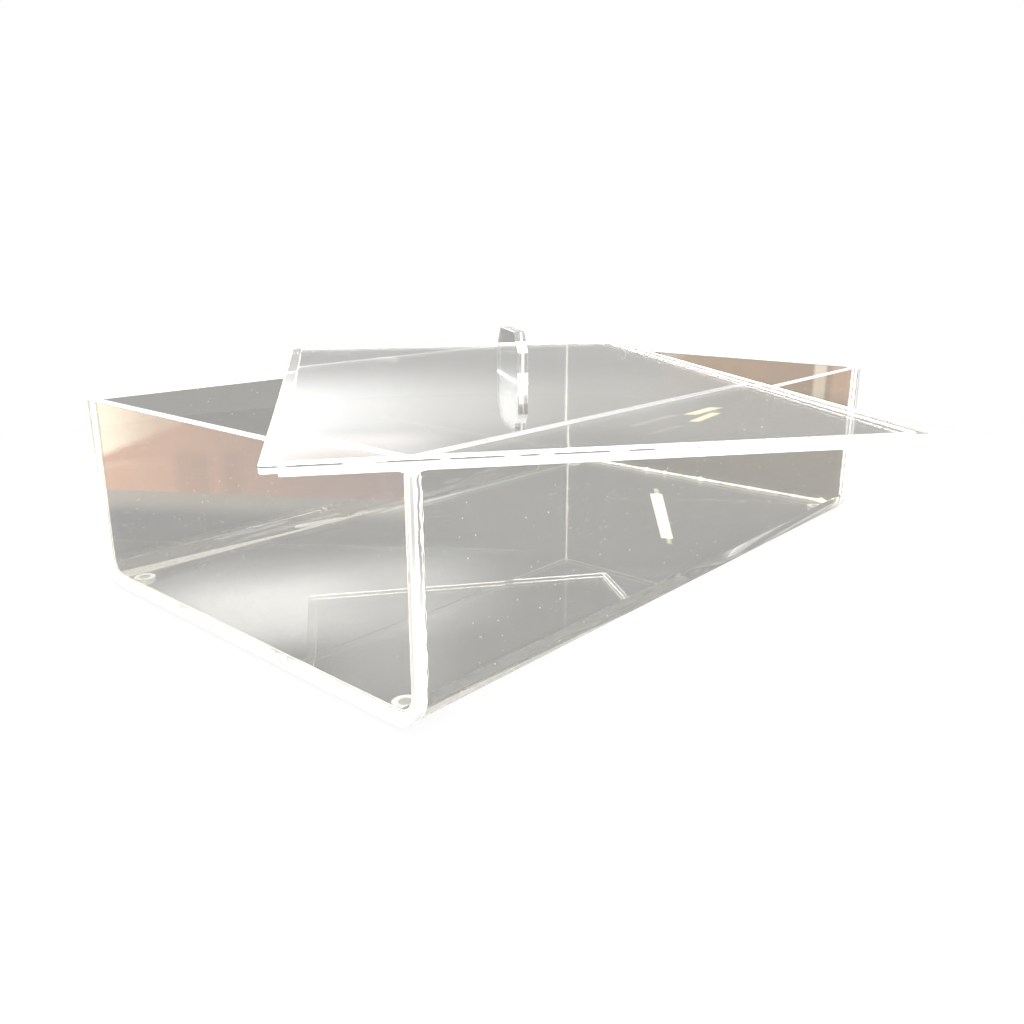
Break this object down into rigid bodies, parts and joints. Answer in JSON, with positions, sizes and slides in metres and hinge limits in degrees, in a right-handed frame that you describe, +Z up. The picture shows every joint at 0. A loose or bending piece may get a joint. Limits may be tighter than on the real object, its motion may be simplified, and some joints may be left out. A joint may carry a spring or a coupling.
{
  "type": "storage box",
  "caption": "Long clear storage box bent from one sheet with cemented end panels, bumper feet and a loose flat lid with a locating plate and a standing handle plate.",
  "frame": {"origin": "middle of the bottom's underside, 4 mm above the surface that the feet stand on", "axes": "+X along the box's long side, +Y across it away from the pictured long wall, +Z up"},
  "size_m": [0.4443, 0.4718, 0.1365],
  "materials": {
    "body_sheet": "clear polished acrylic sheet",
    "end_sheet": "clear polished acrylic sheet",
    "lid_sheet": "clear polished acrylic sheet",
    "handle_sheet": "clear polished acrylic sheet",
    "clear_foot": "clear soft polyurethane"
  },
  "bodies": {
    "box": {"bent_body": "body_sheet", "left_end_panel": "end_sheet", "right_end_panel": "end_sheet", "front_left_foot": "clear_foot", "front_right_foot": "clear_foot", "back_left_foot": "clear_foot", "back_right_foot": "clear_foot"},
    "lid": {"lid_locating_plate": "lid_sheet", "lid_cover": "lid_sheet", "lid_handle": "handle_sheet"}
  },
  "joints": [
    {"name": "lid_lift", "type": "slide", "parent": "box", "child": "lid", "axis": [0, 0, 1], "range_m": [0, 0.15]}
  ]
}
